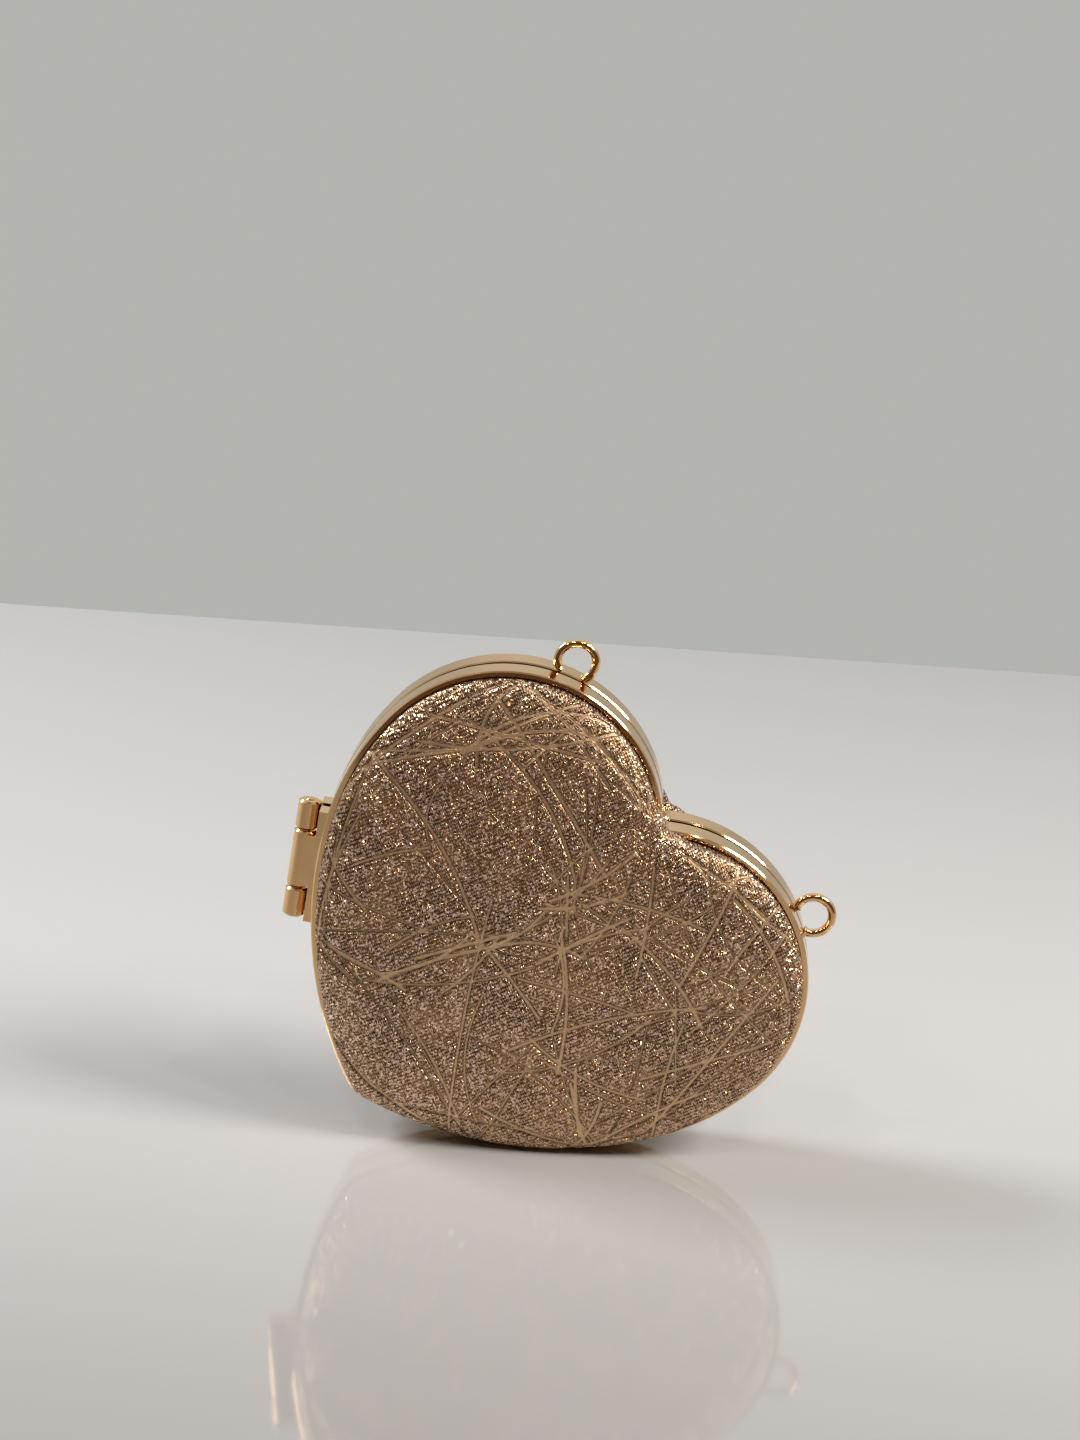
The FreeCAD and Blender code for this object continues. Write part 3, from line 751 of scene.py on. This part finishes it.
@dataclass
class PaddedCover:
    """One cover: fabric over foam on the moulded shell, puffed out of its frame."""

    half: Half
    finishes: Finishes
    lines: PressedLines
    swell: FoamSwell = field(default_factory=FoamSwell)
    rings: int = 192
    wall_inset: float = 2.05
    hem_depth: float = 2.3
    bezel_depth: float = 8.7
    tuck_depth: float = 8.6
    crown_top: float = 18.9
    crown_radius: float = 430.0
    roll_width: float = 11.5
    roll_power: float = 2.4
    roll_inset: float = 2.2
    waist_share: float = 0.33
    bulge_inset: float = 1.45
    settling: float = 0.32
    dome_share: float = 0.87
    roll_share: float = 0.94
    tuck_share: float = 0.97
    notch_overhang: float = 2.7
    notch_reach: float = 5.5
    lip_depths: Pair = (9.0, 10.6)
    lip_width: Pair = (1.0, 9.0)
    groove: float = 0.6
    groove_wall: Pair = (0.3, 1.0)
    hold_wall: Pair = (0.5, 1.3)
    free_rise: Pair = (0.6, 3.4)
    plain_reach: Pair = (3.6, 9.0)
    under_side: tuple[Pair, ...] = ((2.56, 2.3), (2.56, 8.0), (4.23, 12.15))
    seam_step: int = 12

    def crown(self, plan: np.ndarray) -> np.ndarray:
        """Depth of the crown over points of the plan."""
        away = plan - np.array(HEART.crown_centre)
        return self.crown_top - (away ** 2).sum(axis=1) / (2.0 * self.crown_radius)

    def surface(self, ring: np.ndarray, share: np.ndarray) -> tuple[np.ndarray, np.ndarray, np.ndarray]:
        """Places of the grid's points on the cover, before its lines are pressed.

        Args:
            ring: ring shares, 0 in the middle and 1 at the hem.
            share: shares round the ring.

        Returns:
            Points in the heart's plane, their depths, and their places on the fabric while it was flat.
        """
        edge, outward = HEART.walk(share)
        middle = np.array(HEART.crown_centre)
        # Foam settles towards the table, so the roll stands out more along the lower flank
        bulge = self.bulge_inset + self.settling * HEART.upwards(outward)
        waist = self.bezel_depth + self.waist_share * (
            self.crown(edge - outward * self.bulge_inset) - self.bezel_depth)

        inner_edge = edge - outward * (bulge + self.roll_inset)[:, None]
        plan = middle + (inner_edge - middle) * np.clip(ring / self.dome_share, 0.0, 1.0)[:, None]
        beyond = HEART.inset_of(plan) - bulge
        up_roll = np.clip((self.roll_share - ring) / (self.roll_share - self.dome_share), 0.0, 1.0)
        rolled = ring > self.dome_share
        beyond = np.where(rolled, self.roll_inset * up_roll ** self.roll_power, beyond)
        rise = np.clip(beyond / self.roll_width, 0.0, 1.0)
        rise = (1.0 - (1.0 - rise) ** self.roll_power) ** (1.0 / self.roll_power)
        plan = np.where(rolled[:, None], edge - outward * (bulge + beyond)[:, None], plan)
        depth = waist + (self.crown(plan) - waist) * rise

        tucked = ring > self.roll_share
        turn = np.clip((self.tuck_share - ring) / (self.tuck_share - self.roll_share), 0.0, 1.0) * math.pi / 2
        inset = self.wall_inset - (self.wall_inset - bulge) * np.sin(turn)
        plan = np.where(tucked[:, None], edge - outward * inset[:, None], plan)
        depth = np.where(tucked, waist - (waist - self.tuck_depth) * np.cos(turn), depth)
        down = np.clip((ring - self.tuck_share) / (1.0 - self.tuck_share), 0.0, 1.0)
        depth = np.where(ring > self.tuck_share, self.tuck_depth + (self.hem_depth - self.tuck_depth) * down, depth)

        around = np.minimum(share, 1.0 - share) * HEART.length()
        lip = np.exp(-(around / self.notch_reach) ** 2) * smooth_step(*self.lip_depths, depth)
        lip *= 1.0 - smooth_step(*self.lip_width, np.where(tucked, 0.0, beyond))
        flat = plan + outward * (self.crown(plan) - depth)[:, None]
        return plan + outward * (lip * self.notch_overhang)[:, None], depth, flat

    def build(self) -> None:
        """Makes the cover, presses its lines and hides the plain solids that it stands for."""
        name = f"{self.half.word}_padded_cover"
        grid = RingGrid(self.rings)
        ring, share = grid.shares()
        plan, depth, flat = self.surface(ring, share)
        points = HEART.stand(plan, depth, self.half)
        notch = HEART.walk(np.zeros(1))[0]
        free = smooth_step(*self.free_rise, depth - self.tuck_depth)
        free *= smooth_step(*self.plain_reach, np.hypot(*(plan - notch).T))
        away = self.lines.distance(flat)
        relief = -self.groove * (1.0 - smooth_step(*self.groove_wall, away)) * free
        points += grid.normals(points, self.half) * ((relief + self.puff(name, grid) * free) * MM)[:, None]
        points, faces = self.close(points, grid.faces(), ring, share)
        cover = mesh_piece(name, points, faces, self.finishes.glitter, flip=self.half is Half.FRONT)
        layer = cover.data.attributes.new("line_distance", "FLOAT", "POINT")
        marks = np.full(len(points), self.lines.far)
        marks[:len(away)] = away + self.lines.far * (1.0 - free)
        layer.data.foreach_set("value", marks)
        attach(cover, self.half.body)
        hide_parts(f"{self.half.word}_cover_fabric", f"{self.half.word}_cover_padding")
        log.info("%s: %d points", name, len(points))

    def puff(self, name: str, grid: RingGrid) -> np.ndarray:
        """How far foam swells the fabric between the lines, at the points of the cover's grid.

        Args:
            name: the cover's name.
            grid: the cover's grid.

        Returns:
            Outward moves in millimetres.
        """
        coarse = RingGrid(self.swell.rings)
        ring, share = coarse.shares()
        plan, depth, flat = self.surface(ring, share)
        points = HEART.stand(plan, depth, self.half)
        held = np.maximum(1.0 - smooth_step(*self.hold_wall, self.lines.distance(flat)), ring > self.dome_share)
        moves = self.swell.run(name, points, held, coarse.normals(points, self.half))
        return coarse.spread(moves, grid)

    def close(self, points: np.ndarray, faces: Faces, ring: np.ndarray, share: np.ndarray) -> tuple[np.ndarray, Faces]:
        """Closes the cover underneath, where foam meets the shell.

        Args:
            points: places of the outer side.
            faces: its faces.
            ring: ring shares of the points.
            share: their shares round the ring.

        Returns:
            All points and faces.
        """
        hem = np.flatnonzero(ring >= 1.0 - 1e-9)
        hem = hem[np.argsort(share[hem])]
        count = len(hem) // self.seam_step
        edge, outward = HEART.walk(share[hem[::self.seam_step]])
        first = len(points)
        loops = [HEART.stand(edge - outward * inset, np.full(count, depth), self.half)
                 for inset, depth in self.under_side]
        points = np.concatenate([points, *loops])
        for number in range(count):
            fine = [int(hem[(number * self.seam_step + step) % len(hem)]) for step in range(self.seam_step + 1)]
            faces.append((first + (number + 1) % count, first + number, *fine))
        faces += ring_faces(len(loops), count, first)
        last = first + (len(loops) - 1) * count
        faces.append(tuple(range(last, last + count)))
        return points, faces


# Linings
@dataclass
class SatinLining:
    """Satin over the floor and wall of one compartment, drawn tight with a few soft puckers."""

    half: Half
    finishes: Finishes
    around: int = 320
    wall_steps: int = 10
    floor_steps: int = 34
    mouth_inset: float = 4.98
    floor_inset: float = 5.96
    mouth_depth: float = 0.02
    floor_depth: float = 9.5
    corner: float = 1.2
    corner_steps: int = 3
    pucker: float = 0.55
    pucker_waves: Pair = (5.3, 13.7)
    puff: float = 1.1
    puff_waves: tuple[float, float, float, float] = (9.0, 17.0, 8.0, 21.0)
    thickness: float = 0.22
    flat_size: Pair = (150.0, 132.0)

    def loops(self) -> list[tuple[np.ndarray, np.ndarray]]:
        """Rings of the lining, from its mouth down the wall and over the floor.

        Returns:
            For each ring its points in the heart's plane and their depths.
        """
        share = np.arange(self.around) / self.around
        edge, outward = HEART.walk(share)
        middle = np.array(HEART.crown_centre)
        along = share * HEART.length()
        first_wave, second_wave = self.pucker_waves
        wave = np.sin(along / first_wave) * np.sin(along / second_wave + 1.3)
        loops = []
        for step in range(self.wall_steps + 1):
            down = step / self.wall_steps
            inset = self.mouth_inset + (self.floor_inset - self.mouth_inset) * down
            depth = self.mouth_depth + (self.floor_depth - self.corner - self.mouth_depth) * down
            fold = self.pucker * np.maximum(wave, 0.0) * math.sin(math.pi * down) ** 0.7
            loops.append((edge - outward * (inset + fold)[:, None], np.full(self.around, depth)))
        for step in range(1, self.corner_steps + 1):
            turn = step / self.corner_steps * math.pi / 2
            inset = self.floor_inset + self.corner * (1 - math.cos(turn))
            depth = self.floor_depth - self.corner * (1 - math.sin(turn))
            loops.append((edge - outward * inset, np.full(self.around, depth)))
        rim = loops[-1][0]
        waves = self.puff_waves
        for step in range(1, self.floor_steps + 1):
            plan = rim + (middle - rim) * (step / self.floor_steps)
            x, y = plan.T
            swell = np.sin(x / waves[0] + y / waves[1]) * np.sin(y / waves[2] - x / waves[3])
            loops.append((plan, self.floor_depth - self.puff * np.maximum(swell, 0.0) ** 1.5))
        return loops

    def build(self) -> None:
        """Makes the lining and hides the plain solid that it stands for."""
        loops = self.loops()
        points = np.concatenate([HEART.stand(plan, depth, self.half) for plan, depth in loops[:-1]])
        points = np.concatenate([points, HEART.stand(loops[-1][0][:1], loops[-1][1][:1], self.half)])
        faces = ring_faces(len(loops) - 1, self.around)
        last = (len(loops) - 2) * self.around
        faces += [(last + number, last + (number + 1) % self.around, len(points) - 1)
                  for number in range(self.around)]
        name = f"{self.half.word}_satin_lining"
        lining = mesh_piece(name, points, faces, self.finishes.satin, flip=self.half is Half.REAR)
        thick = lining.modifiers.new("cloth", "SOLIDIFY")
        thick.thickness = self.thickness * MM
        thick.offset = -1.0
        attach(lining, self.half.body)
        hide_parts(f"{self.half.word}_lining_satin")


# Gold fittings
@dataclass
class ChainLoop:
    """A ring of round wire soldered to the rear band, with a small foot of solder under each end."""

    name: str
    side: int
    finishes: Finishes
    angle: float = math.radians(23.4)
    height: float = 3.6
    radius: float = 5.05
    wire_radius: float = 1.15
    depth: float = 2.35
    turns: int = 72
    section: int = 20
    sunk: float = 0.25
    flare: float = 0.42
    flare_reach: float = 0.55

    def build(self) -> None:
        """Makes the ring and hides the coarser solid that it stands for."""
        outward = HEART.towards(self.angle)
        centre = np.array([HEART.lobe_offset, 0.0]) + outward * (HEART.lobe_radius + self.height)
        across = np.array([outward[1], -outward[0]])
        opening = math.acos((self.height + self.sunk) / self.radius)
        bends = np.linspace(opening - math.pi, math.pi - opening, self.turns + 1)
        rounds = np.linspace(0.0, 2 * math.pi, self.section, endpoint=False)
        points = []
        for bend in bends:
            spoke = outward * math.cos(bend) + across * math.sin(bend)
            from_end = (math.pi - opening - abs(bend)) * self.radius
            wire = self.wire_radius + self.flare * math.exp(-(from_end / self.flare_reach) ** 2)
            for round_angle in rounds:
                plan = centre + spoke * (self.radius + wire * math.cos(round_angle))
                points.append((plan[0] * self.side, plan[1], self.depth + wire * math.sin(round_angle)))
        table = np.array(points)
        stood = HEART.stand(table[:, :2], table[:, 2], Half.REAR)
        faces = ring_faces(self.turns + 1, self.section)
        faces.append(tuple(reversed(range(self.section))))
        faces.append(tuple(range(self.turns * self.section, (self.turns + 1) * self.section)))
        loop = mesh_piece(f"{self.name}_wire", stood, faces, self.finishes.gold, flip=self.side < 0)
        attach(loop, Half.REAR.body)
        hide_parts(self.name)
        log.info("%s: ring of round wire", loop.name)


@dataclass
class CadDress:
    """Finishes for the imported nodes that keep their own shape."""

    finishes: Finishes

    def build(self) -> None:
        """Dresses each kept node."""
        finish = {node: self.finishes.gold for node in ("hinge_front_leaf", "hinge_rear_leaf", "hinge_pin")}
        for half in Half:
            finish[f"{half.word}_frame"] = self.finishes.frame_gold
            finish[f"{half.word}_cover_shell"] = self.finishes.shell
            finish[f"{half.word}_lining_board"] = self.finishes.card
            finish[f"{half.word}_rim_magnets"] = self.finishes.nickel
        for node, material in finish.items():
            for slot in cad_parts[node].material_slots:
                slot.material = material
            log.info("%s: %s", node, material.name)


# Studio
@dataclass(frozen=True)
class Lamp:
    """A square soft lamp that faces the purse. Lengths here are metres."""

    name: str
    place: Triple
    size: float = 0.1
    watts: float = 0.85
    colour: str = "FFF6F0"
    aim: Triple = (0.0, 0.0, 0.06)

    def build(self) -> None:
        """Hangs the lamp."""
        data = bpy.data.lights.new(self.name, "AREA")
        data.size = self.size
        data.energy = self.watts
        data.color = linear(self.colour)[:3]
        lamp = bpy.data.objects.new(self.name, data)
        bpy.context.collection.objects.link(lamp)
        turn = (Vector(self.aim) - Vector(self.place)).to_track_quat("-Z", "Y")
        lamp.matrix_world = Matrix.Translation(self.place) @ turn.to_matrix().to_4x4()


@dataclass
class Studio:
    """Pale floor, soft light and a camera where the photographer stood. Lengths here are metres."""

    pitch: float = math.radians(16.68)
    roll: float = math.radians(3.35)
    yaw: float = math.radians(1.87)
    focal_pixels: float = 4000.0
    image: tuple[int, int] = (1080, 1440)
    foot_pixel: Pair = (575.0, 1150.5)
    foot_point: Triple = (0.0112, -0.0087, 0.0)
    distance: float = 1.081
    floor_colour: str = "D5D5D3"
    front_floor_shade: str = "A3A2A0"
    floor_side: float = 0.65
    floor_front: float = -0.34
    floor_back: float = 0.50
    wall_colour: str = "B3B4AF"
    ceiling_colour: str = "E6E5E2"
    room_colour: str = "5A4634"
    fill: float = 0.07
    lamps: tuple[Lamp, ...] = (
        Lamp("key", (0.78, -0.28, 0.82), 0.4, 9.8, "FFFAF5"),
        Lamp("window", (-0.85, 0.26, 0.78), 0.38, 8.6, "F9F9FF"),
    )
    downlights: tuple[Triple, ...] = (
        (-0.65, -0.7, 1.0), (-0.22, -0.7, 1.0), (0.22, -0.7, 1.0), (0.65, -0.7, 1.0),
        (-0.4, -0.45, 1.2), (0.4, -0.45, 1.2))

    def camera(self) -> None:
        """Sets the camera up from the fitted angles."""
        turn = Matrix.Rotation(self.yaw, 3, "Z")
        forward = turn @ Vector((0.0, math.cos(self.pitch), -math.sin(self.pitch)))
        down = turn @ Vector((0.0, -math.sin(self.pitch), -math.cos(self.pitch)))
        right = turn @ Vector((1.0, 0.0, 0.0))
        image_right = right * math.cos(self.roll) - down * math.sin(self.roll)
        image_down = right * math.sin(self.roll) + down * math.cos(self.roll)
        off_x = self.foot_pixel[0] - self.image[0] / 2
        off_y = self.foot_pixel[1] - self.image[1] / 2
        ray = (forward * self.focal_pixels + image_right * off_x + image_down * off_y).normalized()
        data = bpy.data.cameras.new("camera")
        data.sensor_width = 36.0
        data.lens = self.focal_pixels / self.image[1] * data.sensor_width
        data.clip_start = 0.01
        camera = bpy.data.objects.new("camera", data)
        bpy.context.collection.objects.link(camera)
        axes = Matrix((image_right, -image_down, -forward)).transposed()
        camera.matrix_world = Matrix.Translation(Vector(self.foot_point) - ray * self.distance) @ axes.to_4x4()
        bpy.context.scene.camera = camera

    def floor(self) -> None:
        """Lays a pale, glossy table top."""
        material, tree, shader, place = new_material("Acrylic_sheet_pale")
        haze = add(tree, "TexNoise", Vector=place, Scale=3.0, Detail=3.0)
        rough = add(tree, "MapRange", Value=haze, To_Min=0.03, To_Max=0.09)
        ahead = add(tree, "SeparateXYZ", Vector=place).outputs["Y"]
        # Painted shade: the floor grows darker towards the front, where less light falls.
        near = add(tree, "MapRange", SMOOTH, Value=ahead, From_Min=0.16, From_Max=-0.3)
        shade = blend(tree, near, self.floor_colour, self.front_floor_shade)
        plug(tree, shader, Base_Color=shade, Roughness=rough)
        side, front, back = self.floor_side, self.floor_front, self.floor_back
        corners = np.array([(-side, front, 0.0), (side, front, 0.0), (side, back, 0.0), (-side, back, 0.0)])
        mesh_piece("floor", corners, [(0, 1, 2, 3)], material, smooth=False)

    def world(self) -> None:
        """Sets a grey wall behind, a bright ceiling and a dim room in front.

        Metal shows them at full strength. They give little light.
        """
        world = bpy.data.worlds.new("studio")
        bpy.context.scene.world = world
        world.use_nodes = True
        tree = world.node_tree
        tree.nodes.clear()
        ways = add(tree, "SeparateXYZ", Vector=add(tree, "TexCoord").outputs["Generated"])
        front = add(tree, "MapRange", SMOOTH, Value=ways.outputs["Y"], From_Min=0.1, From_Max=-0.5)
        above = add(tree, "MapRange", SMOOTH, Value=ways.outputs["Z"], From_Min=0.1, From_Max=0.5)
        behind = blend(tree, above, self.wall_colour, self.ceiling_colour)
        round_about = blend(tree, front, behind, self.room_colour)
        path = add(tree, "LightPath")
        mirrored = add(tree, "Math", {"operation": "ADD"}, in_0=path.outputs["Is Glossy Ray"],
                       in_1=path.outputs["Is Transmission Ray"])
        strength = add(tree, "MapRange", Value=mirrored, To_Min=self.fill, To_Max=1.0)
        wall = add(tree, "Background", Color=self.wall_colour, Strength=1.0)
        light = add(tree, "Background", Color=round_about, Strength=strength)
        mixed = add(tree, "MixShader", Fac=path.outputs["Is Camera Ray"], in_1=light, in_2=wall)
        add(tree, "OutputWorld", Surface=mixed)

    def build(self) -> None:
        """Sets the whole studio up."""
        bpy.context.scene.view_settings.view_transform = "Standard"
        self.camera()
        self.floor()
        self.world()
        for lamp in self.lamps:
            lamp.build()
        for number, place in enumerate(self.downlights):
            Lamp(f"downlight_{number}", place).build()


def main() -> None:
    """Builds the purse piece by piece."""
    finishes = Finishes()
    Studio().build()
    CadDress(finishes).build()
    for half, seed in ((Half.FRONT, 12), (Half.REAR, 34)):
        PaddedCover(half, finishes, PressedLines(seed)).build()
        SatinLining(half, finishes).build()
    for name, side in (("left_chain_loop", -1), ("right_chain_loop", 1)):
        ChainLoop(name, side, finishes).build()


if __name__ == "__main__":
    main()
